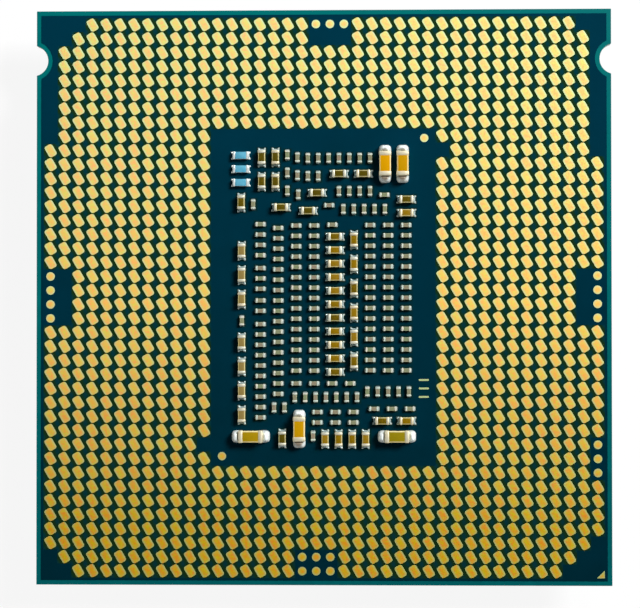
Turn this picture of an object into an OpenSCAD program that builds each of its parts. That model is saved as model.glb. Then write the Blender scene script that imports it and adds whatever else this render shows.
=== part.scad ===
// Land-grid computer processor, shown land side up: a thin laminate board carries
// rows of gold lands round a bare window full of chip parts, and a metal lid below.
// Millimetres, +Z up, the flat face of the lid rests on z = 0, +X and +Y as seen
// from above with the two key notches near the +Y edge.

/* [Board] */
// Side of the square laminate board
board_size = 37.5; // [35:0.5:40]
// Thickness of the laminate between its two masked faces
board_thickness = 0.87; // [0.6:0.01:1.2]
// Thickness of the solder mask with the copper plane under it
mask_thickness = 0.02; // [0.01:0.005:0.04]
// Width of the lighter border left round the copper planes
plane_border = 0.3; // [0.2:0.05:0.4]
// Radius of the two half-round key notches
notch_radius = 1.0; // [0.7:0.05:1.2]
// How far the centre of a notch lies outside the board edge
notch_offset = 0.25; // [0.1:0.05:0.4]
// Distance from the +Y edge to the centres of the notches
notch_drop = 3.25; // [3:0.05:4]

/* [Lands] */
// Distance between neighbouring lands in a row or a column
land_pitch = 0.9144; // [0.88:0.0004:0.96]
// Width across the short way of a land
land_width = 0.55; // [0.48:0.01:0.6]
// Gap between the round ends of neighbouring lands in a column
land_gap = 0.06; // [0.05:0.005:0.1]
// Lean of the lands from the column direction
land_tilt = 30; // [20:1:35]
// How far the lands stand proud of the mask
land_thickness = 0.02; // [0.01:0.005:0.04]
// Smallest distance from the centre of a land to the board edge
land_margin = 0.9; // [0.85:0.05:1.2]
// Lands missing along each edge at the two deeper corners
deep_corner = 3; // [2:1:5]
// Lands missing along each edge at the two other corners
shallow_corner = 2; // [1:1:4]
// Diameter of the round test pads in the gaps of the outer rows
test_pad_diameter = 0.56; // [0.45:0.01:0.65]
// Diameter of the two alignment dots in the window
fiducial_diameter = 0.54; // [0.4:0.01:0.6]
// Distance from the side of the window to the centre of an alignment dot
fiducial_side_inset = 0.6; // [0.4:0.02:1]
// Distance from the end of the window to the centre of an alignment dot
fiducial_end_inset = 0.49; // [0.35:0.01:1]
// Leg of the gold triangle that marks the first corner
corner_mark_leg = 0.5; // [0.3:0.05:0.6]
// Distance from the board edge to the legs of the corner triangle
corner_mark_inset = 0.5; // [0.4:0.05:0.6]

/* [Chip window] */
// Width of the window that is kept clear of lands
window_width = 14.4; // [14.2:0.1:15]
// Height of the window that is kept clear of lands
window_height = 21.7; // [21.5:0.1:22.5]
// Step of the grid that the chip parts are placed on
placement_grid = 0.01; // [0.0095:0.0001:0.0105]

/* [Large capacitors] */
// Length over the terminals
large_length = 1.6; // [1.5:0.05:1.7]
// Width of a large capacitor
large_width = 0.8; // [0.7:0.05:0.9]
// Height of a large capacitor
large_height = 0.8; // [0.6:0.05:0.9]
// Length of the metal band at each end
large_band = 0.3; // [0.2:0.05:0.4]
// How far the solder dome reaches past the end
large_solder = 0.46; // [0.3:0.02:0.48]
// How far the flat tinned pad under the dome reaches past the end
large_pad = 0.5; // [0.4:0.02:0.52]

/* [Medium capacitors] */
// Length over the terminals
medium_length = 1.0; // [0.9:0.05:1.1]
// Width of a medium capacitor
medium_width = 0.5; // [0.45:0.05:0.6]
// Height of a medium capacitor
medium_height = 0.5; // [0.4:0.05:0.6]
// Length of the metal band at each end
medium_band = 0.22; // [0.15:0.01:0.3]
// How far the solder fillet reaches past the end
medium_solder = 0.16; // [0.1:0.01:0.18]
// Spacing of medium capacitors that stand side by side
medium_pitch = 0.88; // [0.8:0.01:1]
// Spacing of medium capacitors that stand end to end
medium_end_pitch = 1.58; // [1.52:0.01:1.8]

/* [Small capacitors] */
// Length over the terminals
small_length = 0.6; // [0.5:0.02:0.66]
// Width of a small capacitor
small_width = 0.3; // [0.25:0.01:0.35]
// Height of a small capacitor
small_height = 0.3; // [0.25:0.01:0.35]
// Length of the metal band at each end
small_band = 0.17; // [0.1:0.01:0.2]
// How far the solder fillet reaches past the end
small_solder = 0.075; // [0.05:0.005:0.1]
// Spacing of small capacitors that stand side by side
small_pitch = 0.675; // [0.6:0.005:0.8]
// Spacing of small capacitors that stand end to end
small_end_pitch = 1.17; // [1.1:0.01:1.3]

/* [Chip resistors] */
// Length over the terminals
resistor_length = 1.0; // [0.9:0.05:1.1]
// Width of a chip resistor
resistor_width = 0.5; // [0.45:0.05:0.6]
// Height of a chip resistor
resistor_height = 0.35; // [0.3:0.01:0.45]
// Length of the metal band at each end
resistor_band = 0.19; // [0.15:0.01:0.3]
// Thickness of the blue glaze over the resistive film
resistor_glaze = 0.04; // [0.03:0.005:0.06]
// How far the solder fillet reaches past the end
resistor_solder = 0.16; // [0.1:0.01:0.18]
// Spacing of the chip resistors
resistor_pitch = 0.885; // [0.8:0.005:1]

/* [Chip details] */
// Offset of the whole chip field from the middle of the board, to the right
chip_field_x = 0.07; // [-0.1:0.01:0.1]
// Offset of the whole chip field from the middle of the board, upwards
chip_field_y = -0.03; // [-0.1:0.01:0.1]
// Thickness of the metal end bands
band_thickness = 0.025; // [0.015:0.005:0.04]
// Radius of the long edges of the large and medium chips
chip_edge = 0.05; // [0.04:0.005:0.08]
// Share of the height of a chip that its solder fillets climb
fillet_climb = 0.7; // [0.5:0.05:0.85]
// Thickness of a solder fillet at its upper edge
fillet_lip = 0.03; // [0.01:0.005:0.04]
// Radius of a solder dome as a multiple of its reach
dome_fullness = 1.06; // [1.02:0.01:1.15]
// Thickness of the tinned pad under a solder dome
pad_thickness = 0.03; // [0.02:0.005:0.05]

/* [Lid] */
// Height of the lid from its flat face to its foot
lid_height = 3.3; // [2.6:0.05:3.8]
// Width of the raised middle of the lid
lid_width = 28.6; // [26:0.2:30]
// Length of the raised middle of the lid
lid_length = 30.6; // [28:0.2:32]
// Corner radius of the raised middle
lid_corner = 1.2; // [0.5:0.1:2]
// Chamfer round the flat face
lid_chamfer = 0.3; // [0.1:0.05:0.5]
// Height of the step from the flat face down to the two ears
ear_step = 1.7; // [1.2:0.05:2]
// Reach of each ear past the raised middle
ear_reach = 2.4; // [1.5:0.1:2.4]
// Length of each ear at its root
ear_length = 23; // [18:0.5:25]
// Corner cut of the ears
ear_cut = 1.4; // [0.8:0.1:1.5]
// Width of the foot that runs round the pocket under the lid
foot_width = 2.1; // [1.8:0.05:2.6]
// Corner radius of the pocket
pocket_corner = 1.6; // [1:0.1:2.5]

/* [Under the lid] */
// Width of the silicon die
die_width = 9.2; // [8:0.1:11]
// Length of the silicon die
die_length = 16.3; // [9:0.1:18]
// Thickness of the silicon die
die_thickness = 0.42; // [0.3:0.01:0.8]
// Height of the soldered gap under the die
bump_height = 0.08; // [0.05:0.01:0.12]
// Thickness of the thermal layer between the die and the lid
thermal_thickness = 0.1; // [0.05:0.01:0.2]
// Reach of the underfill past the die
underfill_reach = 0.6; // [0.3:0.05:0.9]
// Width of the upper edge of the underfill beside the die
underfill_rim = 0.12; // [0.05:0.01:0.2]
// How far the underfill climbs the sides of the die
underfill_climb = 0.2; // [0.1:0.01:0.25]
// Thickness of the sealant under the foot of the lid
sealant_thickness = 0.1; // [0.05:0.01:0.2]
// Width of the sealant bead
sealant_width = 1.4; // [1:0.05:1.6]
// Width of the vent left open in the sealant bead
sealant_vent = 3; // [1:0.5:6]

/* [Hidden] */
$fn = 32;

// Levels from the floor up
lid_foot = lid_height;
inner_face = lid_foot + sealant_thickness;
board_low = inner_face + mask_thickness;
board_top = board_low + board_thickness;
land_face = board_top + mask_thickness;
die_top = inner_face - bump_height;
die_low = die_top - die_thickness;
pocket_floor = die_low - thermal_thickness;

// Board edges and the height of the notch centres on the plan
edge = board_size / 2;
notch_y = edge - notch_drop;

// A land is a strip with ends on one circle, which leaves land_gap to the next in its column
land_length = land_pitch - land_gap;
land_side = sqrt(land_length * land_length - land_width * land_width);
land_half_x = (land_width * cos(land_tilt) + land_side * sin(land_tilt)) / 2;
land_half_y = land_length / 2;

// Lands along a side, an even number, with u and v counted from the middle of the grid
land_count = 2 * floor(((board_size - 2 * land_margin) / land_pitch + 1) / 2);
last = (land_count - 1) / 2;
steps = [for (k = [0 : land_count - 1]) k - last];

// Round test pads take these places, each given as u from, u to, v from, v to
test_zones = [
    [-0.5, 1.5, last, last],
    [-1.5, 0.5, -last, 1 - last],
    [-last, -last, -1.5, 1.5],
    [last, last, -1.5, 1.5],
    [last, last, -12.5, -10.5]
];

// Places left bare: behind the test pads, beside the notches and at the two keyed spots
bare_zones = [
    [-0.5, 1.5, last - 1, last - 1],
    [1 - last, 1 - last, -1.5, 1.5],
    [last - 1, last - 1, -1.5, 1.5],
    [-last, -last, 11.5, last],
    [last, last, 10.5, last],
    [8.5, 8.5, 10.5, 10.5],
    [-8.5, -8.5, -10.5, -10.5]
];

function inside(u, v, zones) =
    len([for (z = zones) if (u >= z[0] && u <= z[1] && v >= z[2] && v <= z[3]) 1]) > 0;

// The corners lose a staircase of lands, deeper on one diagonal than on the other
function in_corner(u, v) = 2 * last - abs(u) - abs(v) < (u * v < 0 ? deep_corner : shallow_corner);

function in_window(u, v) =
    abs(u) * land_pitch - land_half_x < window_width / 2
    && abs(v) * land_pitch - land_half_y < window_height / 2;

function is_land(u, v) =
    !in_corner(u, v) && !in_window(u, v) && !inside(u, v, test_zones) && !inside(u, v, bare_zones);

// The rows above and below the window make two banks, the rest of the columns two more
function beside_window(v) = abs(v) * land_pitch - land_half_y < window_height / 2;
upper_places = [for (v = steps, u = steps) if (v > 0 && !beside_window(v) && is_land(u, v)) [u, v]];
lower_places = [for (v = steps, u = steps) if (v < 0 && !beside_window(v) && is_land(u, v)) [u, v]];
left_places = [for (v = steps, u = steps) if (u < 0 && beside_window(v) && is_land(u, v)) [u, v]];
right_places = [for (v = steps, u = steps) if (u > 0 && beside_window(v) && is_land(u, v)) [u, v]];
test_places = [for (v = steps, u = steps) if (inside(u, v, test_zones)) [u, v]];

// Chip parts are placed in steps of the placement grid from the middle of the board, turned
// 0 or 90. Most stand in runs that fill a stretch of a column or of a row at their own pitch.
function single(x, y, turn) = [[x * placement_grid, y * placement_grid, turn]];
function column(x, y_from, y_to, pitch, turn) =
    [for (k = [0 : floor((y_from - y_to) * placement_grid / pitch)])
        [x * placement_grid, y_from * placement_grid - k * pitch, turn]];
function row(x_from, x_to, y, pitch, turn) =
    [for (k = [0 : floor((x_to - x_from) * placement_grid / pitch)])
        [x_from * placement_grid + k * pitch, y * placement_grid, turn]];

large_places = concat(
    single(398, 870, 90),
    single(512, 870, 90),
    single(-478, -904, 0),
    single(-162, -855, 90),
    single(473, -904, 0)
);

resistor_count = 3;
resistor_places = [for (k = [0 : resistor_count - 1])
    [-543 * placement_grid, 927 * placement_grid - k * resistor_pitch, 0]];

medium_places = concat(
    column(-406, 914, 750, medium_end_pitch, 90),
    column(-316, 914, 750, medium_end_pitch, 90),
    single(-540, 620, 90),
    single(-280, 588, 0),
    single(-104, 565, 0),
    single(-46, 682, 0),
    row(98, 260, 806, medium_end_pitch, 0),
    column(536, 638, 540, medium_pitch, 0),
    column(-537, 305, -20, medium_end_pitch, 90),
    column(-537, -291, -780, medium_end_pitch, 90),
    column(71, 396, -490, medium_pitch, 0),
    column(195, 375, -425, medium_end_pitch, 90),
    single(-273, -917, 90),
    row(6, 275, -921, medium_pitch, 90),
    row(377, 540, -802, medium_end_pitch, 0)
);

small_places = concat(
    // Upper block
    column(-239, 930, 690, small_end_pitch, 90),
    column(-173, 913, 790, small_end_pitch, 90),
    single(-168, 671, 90),
    single(-462, 608, 90),
    row(-105, 305, 908, small_pitch, 90),
    row(-105, -30, 791, small_pitch, 90),
    row(97, 305, 692, small_pitch, 90),
    row(126, 400, 575, small_pitch, 90),
    single(392, 668, 0),
    single(32, 601, 0),
    single(53, 474, 0),
    // Columns under the die
    column(-416, 478, 270, small_pitch, 0),
    column(-416, 192, 50, small_pitch, 0),
    column(-416, -19, -95, small_pitch, 0),
    column(-416, -173, -790, small_pitch, 0),
    column(-300, 453, -635, small_pitch, 0),
    column(-183, 469, -480, small_pitch, 0),
    column(-66, 469, -480, small_pitch, 0),
    column(299, 471, -480, small_pitch, 0),
    column(416, 471, -480, small_pitch, 0),
    column(533, 471, -480, small_pitch, 0),
    row(-183, 175, -559, small_end_pitch, 0),
    single(-536, -151, 90),
    // Lower block
    row(-326, -250, -717, small_pitch, 90),
    row(-191, 220, -650, small_pitch, 90),
    row(281, 560, -613, small_pitch, 90),
    row(-45, 195, -745, small_end_pitch, 0),
    row(-45, 195, -813, small_end_pitch, 0),
    row(323, 560, -724, small_end_pitch, 0),
    single(-72, -902, 90)
);

// The alignment dots lie in two opposite corners of the window
fiducial_x = window_width / 2 - fiducial_side_inset;
fiducial_y = window_height / 2 - fiducial_end_inset;
fiducial_places = [[fiducial_x, fiducial_y], [-fiducial_x, -fiducial_y]];

large_names = [for (k = [1 : len(large_places)]) str("large_capacitor_", k)];
resistor_names = [for (k = [1 : len(resistor_places)]) str("resistor_", k)];

// Node to draw, or all of them

// Rectangle with round corners, centred
module rounded_rect(w, h, r) {
    square([w - 2 * r, h], center = true);
    square([w, h - 2 * r], center = true);
    for (sx = [-1, 1], sy = [-1, 1])
        translate([sx * (w / 2 - r), sy * (h / 2 - r)])
            circle(r);
}

// Block whose four sides lean in by the same amount from z = 0 to z = h
module leaning_block(w, l, h, lean) {
    intersection() {
        rotate([90, 0, 0])
            linear_extrude(l, center = true)
                polygon([[-w / 2, 0], [w / 2, 0], [w / 2 - lean, h], [lean - w / 2, h]]);
        rotate([90, 0, 90])
            linear_extrude(w, center = true)
                polygon([[-l / 2, 0], [l / 2, 0], [l / 2 - lean, h], [lean - l / 2, h]]);
    }
}

// Board outline with its two notches, drawn in from the edge by the given border
module board_plan(border) {
    difference() {
        square(board_size - 2 * border, center = true);
        for (side = [-1, 1])
            translate([side * (edge + notch_offset), notch_y])
                circle(notch_radius + border);
    }
}

module board() {
    color([0.02, 0.4, 0.42])
        translate([0, 0, board_low])
            linear_extrude(board_thickness)
                board_plan(0);
}

module lid_side_mask() {
    color([0.02, 0.2, 0.26])
        translate([0, 0, inner_face])
            linear_extrude(mask_thickness)
                board_plan(plane_border);
}

module land_side_mask() {
    color([0.01, 0.18, 0.24])
        translate([0, 0, board_top])
            linear_extrude(mask_thickness)
                board_plan(plane_border);
}

// Leaning gold lands at the given places of the grid
module lands(places) {
    color([0.9, 0.75, 0.36])
        translate([0, 0, land_face])
            linear_extrude(land_thickness)
                for (p = places)
                    translate(p * land_pitch)
                        rotate(land_tilt)
                            intersection() {
                                square([land_width, land_pitch], center = true);
                                circle(d = land_length);
                            }
}

module upper_lands() {
    lands(upper_places);
}

module lower_lands() {
    lands(lower_places);
}

module left_lands() {
    lands(left_places);
}

module right_lands() {
    lands(right_places);
}

module test_pads() {
    color([0.9, 0.75, 0.36])
        translate([0, 0, land_face])
            for (p = test_places)
                translate(p * land_pitch)
                    cylinder(h = land_thickness, d = test_pad_diameter);
}

module fiducials() {
    color([0.9, 0.75, 0.36])
        translate([0, 0, land_face])
            for (p = fiducial_places)
                translate(p)
                    cylinder(h = land_thickness, d = fiducial_diameter);
}

// Triangle in the first corner, with its right angle towards the corner
module corner_triangle() {
    far = edge - corner_mark_inset;
    near = far - corner_mark_leg;
    linear_extrude(land_thickness)
        polygon([[far, -far], [far, -near], [near, -far]]);
}

module corner_mark() {
    color([0.9, 0.75, 0.36])
        translate([0, 0, land_face])
            corner_triangle();
}

module lid_side_corner_mark() {
    color([0.9, 0.75, 0.36])
        translate([0, 0, inner_face - land_thickness])
            corner_triangle();
}

// Bar along X standing on z = 0, with its long edges rounded where r is given
module bar(l, w, h, r) {
    translate([0, 0, h / 2])
        if (r > 0)
            rotate([90, 0, 90])
                linear_extrude(l, center = true)
                    rounded_rect(w, h, r);
        else
            cube([l, w, h], center = true);
}

// Ceramic block of a chip, inside the thickness of its end bands
module chip_body(l, w, h, r) {
    t = band_thickness;
    translate([0, 0, t])
        bar(l - 2 * t, w - 2 * t, h - 2 * t, max(0, r - t));
}

// The two metal end bands, each a cap over one end of the block
module chip_terminals(l, w, h, band, r) {
    for (side = [-1, 1])
        difference() {
            translate([side * (l - band) / 2, 0, 0])
                bar(band, w, h, r);
            chip_body(l, w, h, r);
        }
}

// Concave solder fillets that climb the ends of a chip
module solder_fillets(l, w, h, reach) {
    rise = h * fillet_climb;
    for (side = [0, 180])
        rotate(side)
            translate([l / 2, 0, 0])
                rotate([90, 0, 0])
                    linear_extrude(w, center = true)
                        difference() {
                            square([reach, rise]);
                            translate([rise + fillet_lip, rise])
                                circle(rise);
                        }
}

// Full solder domes at the ends of a large chip, each on its flat pad
module solder_domes(l, w, reach, pad) {
    ball = reach * dome_fullness;
    for (side = [0, 180])
        rotate(side) {
            intersection() {
                translate([l / 2 + reach - ball, 0, 0])
                    sphere(ball);
                translate([l / 2, -w / 2, 0])
                    cube([2 * reach, w, 2 * ball]);
            }
            translate([l / 2, -w / 2, 0])
                cube([pad, w, pad_thickness]);
        }
}

// Stands chips on the land face of the board at the given places
module on_board(places) {
    for (p = places)
        translate([p[0] + chip_field_x, p[1] + chip_field_y, land_face])
            rotate(p[2])
                children();
}

module large_body(p) {
    color([0.8, 0.6, 0.12])
        on_board([p])
            chip_body(large_length, large_width, large_height, chip_edge);
}

module large_terminals(p) {
    color([0.85, 0.83, 0.78])
        on_board([p])
            chip_terminals(large_length, large_width, large_height, large_band, chip_edge);
}

module large_solder_domes(p) {
    color([0.8, 0.82, 0.84])
        on_board([p])
            solder_domes(large_length, large_width, large_solder, large_pad);
}

module resistor_body(p) {
    color([0.9, 0.9, 0.88])
        on_board([p])
            chip_body(resistor_length, resistor_width, resistor_height, 0);
}

module resistor_glaze_coat(p) {
    color([0.3, 0.7, 0.85])
        on_board([p])
            translate([0, 0, resistor_height - band_thickness + resistor_glaze / 2])
                cube(
                    [
                        resistor_length - 2 * resistor_band,
                        resistor_width - 2 * band_thickness,
                        resistor_glaze
                    ],
                    center = true
                );
}

module resistor_terminals(p) {
    color([0.85, 0.83, 0.78])
        on_board([p])
            chip_terminals(resistor_length, resistor_width, resistor_height, resistor_band, 0);
}

module resistor_fillets(p) {
    color([0.8, 0.82, 0.84])
        on_board([p])
            solder_fillets(resistor_length, resistor_width, resistor_height, resistor_solder);
}

module medium_capacitor_bodies() {
    color([0.47, 0.36, 0.1])
        on_board(medium_places)
            chip_body(medium_length, medium_width, medium_height, chip_edge);
}

module medium_capacitor_terminals() {
    color([0.85, 0.83, 0.78])
        on_board(medium_places)
            chip_terminals(medium_length, medium_width, medium_height, medium_band, chip_edge);
}

module medium_capacitor_solder() {
    color([0.8, 0.82, 0.84])
        on_board(medium_places)
            solder_fillets(medium_length, medium_width, medium_height, medium_solder);
}

// On the smallest chips the bands are solid end blocks with the ceramic set between them
module small_capacitor_bodies() {
    t = band_thickness;
    color([0.55, 0.5, 0.42])
        on_board(small_places)
            translate([0, 0, t])
                bar(small_length - 2 * small_band, small_width - 2 * t, small_height - 2 * t, 0);
}

module small_capacitor_terminals() {
    color([0.85, 0.83, 0.78])
        on_board(small_places)
            for (side = [-1, 1])
                translate([side * (small_length - small_band) / 2, 0, 0])
                    bar(small_band, small_width, small_height, 0);
}

module small_capacitor_solder() {
    color([0.8, 0.82, 0.84])
        on_board(small_places)
            solder_fillets(small_length, small_width, small_height, small_solder);
}

// Raised middle of the lid with a chamfer round its flat face, its two ears and its pocket
module lid() {
    color([0.75, 0.75, 0.76])
        difference() {
            union() {
                intersection() {
                    linear_extrude(lid_height)
                        rounded_rect(lid_width, lid_length, lid_corner);
                    union() {
                        translate([0, 0, lid_chamfer])
                            mirror([0, 0, 1])
                                leaning_block(lid_width, lid_length, lid_chamfer, lid_chamfer);
                        translate([-lid_width / 2, -lid_length / 2, lid_chamfer])
                            cube([lid_width, lid_length, lid_height - lid_chamfer]);
                    }
                }
                for (side = [0, 180])
                    rotate(side)
                        translate([lid_width / 2, 0, ear_step])
                            linear_extrude(lid_height - ear_step)
                                polygon([
                                    [-foot_width / 2, -ear_length / 2],
                                    [ear_reach - ear_cut, -ear_length / 2],
                                    [ear_reach, ear_cut - ear_length / 2],
                                    [ear_reach, ear_length / 2 - ear_cut],
                                    [ear_reach - ear_cut, ear_length / 2],
                                    [-foot_width / 2, ear_length / 2]
                                ]);
            }
            translate([0, 0, pocket_floor])
                linear_extrude(lid_height)
                    rounded_rect(
                        lid_width - 2 * foot_width,
                        lid_length - 2 * foot_width,
                        pocket_corner
                    );
        }
}

// Bead of sealant along the foot of the lid, open at one vent
module lid_sealant() {
    inset = (foot_width - sealant_width) / 2;
    color([0.12, 0.12, 0.12])
        translate([0, 0, lid_foot])
            linear_extrude(sealant_thickness)
                difference() {
                    rounded_rect(lid_width - 2 * inset, lid_length - 2 * inset, lid_corner - inset);
                    rounded_rect(
                        lid_width - 2 * inset - 2 * sealant_width,
                        lid_length - 2 * inset - 2 * sealant_width,
                        pocket_corner
                    );
                    translate([-sealant_vent / 2, -lid_length])
                        square([sealant_vent, lid_length]);
                }
}

module thermal_layer() {
    color([0.62, 0.63, 0.65])
        translate([-die_width / 2, -die_length / 2, pocket_floor])
            cube([die_width, die_length, thermal_thickness]);
}

module die() {
    color([0.25, 0.26, 0.3])
        translate([-die_width / 2, -die_length / 2, die_low])
            cube([die_width, die_length, die_thickness]);
}

// Underfill between the die and the board, with a skirt that climbs the sides of the die
module underfill() {
    color([0.16, 0.17, 0.2])
        difference() {
            translate([0, 0, inner_face])
                mirror([0, 0, 1])
                    leaning_block(
                        die_width + 2 * underfill_reach,
                        die_length + 2 * underfill_reach,
                        bump_height + underfill_climb,
                        underfill_reach - underfill_rim
                    );
            translate([-die_width / 2, -die_length / 2, die_low])
                cube([die_width, die_length, die_thickness]);
        }
}

lid();
lid_sealant();
thermal_layer();
die();
underfill();
board();
lid_side_mask();
land_side_mask();
upper_lands();
lower_lands();
left_lands();
right_lands();
test_pads();
fiducials();
corner_mark();
lid_side_corner_mark();
medium_capacitor_bodies();
medium_capacitor_terminals();
medium_capacitor_solder();
small_capacitor_bodies();
small_capacitor_terminals();
small_capacitor_solder();
for (k = [0 : len(large_places) - 1]) {
    large_body(large_places[k]);
    large_terminals(large_places[k]);
    large_solder_domes(large_places[k]);
}
for (k = [0 : len(resistor_places) - 1]) {
    resistor_body(resistor_places[k]);
    resistor_glaze_coat(resistor_places[k]);
    resistor_terminals(resistor_places[k]);
    resistor_fillets(resistor_places[k]);
}
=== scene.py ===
import math
import random

import bmesh
import bpy
from bmesh.types import BMFace, BMVert
from mathutils import Matrix, Vector


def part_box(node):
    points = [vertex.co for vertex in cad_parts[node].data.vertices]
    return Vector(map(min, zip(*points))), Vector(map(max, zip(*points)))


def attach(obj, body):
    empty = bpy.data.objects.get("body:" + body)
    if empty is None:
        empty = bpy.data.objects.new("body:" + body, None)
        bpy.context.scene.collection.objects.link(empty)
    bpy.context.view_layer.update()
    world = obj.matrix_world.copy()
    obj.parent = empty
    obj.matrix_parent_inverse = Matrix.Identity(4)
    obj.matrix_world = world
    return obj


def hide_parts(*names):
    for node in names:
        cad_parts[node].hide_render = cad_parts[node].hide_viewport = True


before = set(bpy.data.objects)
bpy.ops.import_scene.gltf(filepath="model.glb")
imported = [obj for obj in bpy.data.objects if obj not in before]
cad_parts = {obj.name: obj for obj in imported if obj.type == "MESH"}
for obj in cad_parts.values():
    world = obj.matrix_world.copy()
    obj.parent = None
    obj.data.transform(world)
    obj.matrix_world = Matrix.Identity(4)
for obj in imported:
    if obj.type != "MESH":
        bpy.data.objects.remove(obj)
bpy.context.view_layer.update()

# Lid: the heat spreader, stamped from copper and plated with satin nickel. Its foot is glued to the
# board all round, and the processor lies on its flat face.
MM = 0.001
lid_edge = 0.08 * MM
lid_dark, lid_light = "9a9996", "acaba7"
lid_grain, lid_grain_length = 0.06 * MM, 4 * MM
lid_cloud = 5 * MM
weld_distance = 0.0001 * MM


def linear(code):
    """The linear RGBA of a colour written as sRGB hex."""
    levels = [int(code[k:k + 2], 16) / 255 for k in (0, 2, 4)]
    return [c / 12.92 if c <= 0.04045 else ((c + 0.055) / 1.055) ** 2.4 for c in levels] + [1.0]


def add_node(tree, kind, settings={}, links={}):
    """Adds a node. Settings are its properties, input values or colour stops, links feed its inputs.
    A mix of colours takes its share at input 0 and its colours at 6 and 7, and gives output 2."""
    node = tree.nodes.new(kind)
    for name, value in settings.items():
        if name == "stops":
            while len(node.color_ramp.elements) < len(value):
                node.color_ramp.elements.new(0.5)
            for element, (position, code) in zip(node.color_ramp.elements, value):
                element.position = position
                element.color = linear(code)
        elif isinstance(name, str) and hasattr(node, name):
            setattr(node, name, value)
        else:
            node.inputs[name].default_value = value
    for name, source in links.items():
        tree.links.new(source, node.inputs[name])
    return node


def start_material(name):
    """A new material, its emptied node tree and the socket of its object coordinates."""
    material = bpy.data.materials.new(name)
    material.use_nodes = True
    tree = material.node_tree
    tree.nodes.clear()
    return material, tree, add_node(tree, "ShaderNodeTexCoord").outputs["Object"]


def end_material(tree, settings, links):
    """Closes a material with its principled shader and its output."""
    shader = add_node(tree, "ShaderNodeBsdfPrincipled", settings, links)
    add_node(tree, "ShaderNodeOutputMaterial", {}, {"Surface": shader.outputs["BSDF"]})


def mottle(tree, place, size, detail, stops):
    """Spots of the given size: the socket of their depth and that of their colour between the stops."""
    spots = add_node(tree, "ShaderNodeTexNoise", {"Scale": 1 / size, "Detail": detail}, {"Vector": place})
    tone = add_node(tree, "ShaderNodeValToRGB", {"stops": stops}, {"Fac": spots.outputs["Fac"]})
    return spots.outputs["Fac"], tone.outputs["Color"]


def welded(node):
    """A copy of a CAD node's mesh with its loose triangles joined at their corners."""
    bm = bmesh.new()
    bm.from_mesh(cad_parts[node].data)
    bmesh.ops.remove_doubles(bm, verts=bm.verts, dist=weld_distance)
    return bm


def merged(node):
    """A copy of a CAD node's mesh with its triangles joined to whole faces."""
    bm = welded(node)
    bmesh.ops.dissolve_limit(bm, angle_limit=math.radians(1), verts=bm.verts, edges=bm.edges)
    return bm


def sharp_edges(bm, degrees=30):
    """The edges at which the faces turn by more than the given angle."""
    return [e for e in bm.edges if len(e.link_faces) == 2 and e.calc_face_angle() > math.radians(degrees)]


def round_edges(bm, edges, radius, segments):
    """Rounds edges to the given radius."""
    bmesh.ops.bevel(bm, geom=edges, offset=radius, offset_type="OFFSET", segments=segments, profile=0.5,
                    affect="EDGES", clamp_overlap=True, material=-1)


def add_piece(bm, name, material, smooth_below=40):
    """A new object from a finished bmesh, smooth where its faces turn less than the given angle."""
    mesh = bpy.data.meshes.new(name)
    bm.to_mesh(mesh)
    bm.free()
    mesh.shade_smooth()
    mesh.set_sharp_from_angle(angle=math.radians(smooth_below))
    mesh.materials.append(material)
    piece = bpy.data.objects.new(name, mesh)
    bpy.context.scene.collection.objects.link(piece)
    return piece


# Satin nickel plate: a bright grey metal with the faint rolled grain of the copper under it.
nickel, tree, place = start_material("satin_nickel_plate")
along_roll = add_node(tree, "ShaderNodeMapping", {"Scale": (1, lid_grain / lid_grain_length, 1)},
                      {"Vector": place})
grain = add_node(tree, "ShaderNodeTexNoise", {"Scale": 1 / lid_grain, "Detail": 2.0},
                 {"Vector": along_roll.outputs["Vector"]})
_, tone = mottle(tree, place, lid_cloud, 3.0, [(0.3, lid_dark), (0.7, lid_light)])
relief = add_node(tree, "ShaderNodeBump", {"Strength": 0.25, "Distance": 0.01 * MM},
                  {"Height": grain.outputs["Fac"]})
end_material(tree, {"Metallic": 1.0, "Roughness": 0.33},
             {"Base Color": tone, "Normal": relief.outputs["Normal"]})

bm = merged("lid")
round_edges(bm, sharp_edges(bm), lid_edge, 2)
lid = add_piece(bm, "nickel_lid", nickel)
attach(lid, "root")
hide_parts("lid")

# Sealant: a bead of black silicone between the foot of the lid and the board, open at one vent.
# It is squeezed flat when the lid is pressed on, so its sides swell a little.
sealant_swell = 0.04 * MM
sealant_dark, sealant_light = "141416", "26262a"
sealant_grit = 0.25 * MM

# Black silicone: cured from a paste, so it is dull and a little lumpy.
silicone, tree, place = start_material("black_silicone_sealant")
grit, tone = mottle(tree, place, sealant_grit, 4.0, [(0.35, sealant_dark), (0.65, sealant_light)])
relief = add_node(tree, "ShaderNodeBump", {"Strength": 0.4, "Distance": 0.02 * MM}, {"Height": grit})
end_material(tree, {"Roughness": 0.6}, {"Base Color": tone, "Normal": relief.outputs["Normal"]})

bm = merged("lid_sealant")
round_edges(bm, sharp_edges(bm), sealant_swell, 2)
sealant = add_piece(bm, "sealant_bead", silicone)
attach(sealant, "root")
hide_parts("lid_sealant")

# Under the lid: the silicon die, the soft metal layer that carries its heat to the lid, and the resin
# run in under it. They are closed in for good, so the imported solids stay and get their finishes.
die_dark, die_light, die_haze = "34363d", "474a53", 0.8 * MM
thermal_dark, thermal_light, thermal_haze = "8e9093", "b4b6b8", 0.5 * MM
resin_dark, resin_light, resin_filler = "15181d", "333a42", 0.08 * MM

# Ground silicon: dark and glossy, with a faint haze from the grinding.
silicon, tree, place = start_material("ground_silicon")
_, tone = mottle(tree, place, die_haze, 3.0, [(0.3, die_dark), (0.7, die_light)])
end_material(tree, {"Metallic": 0.7, "Roughness": 0.18}, {"Base Color": tone})

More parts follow.
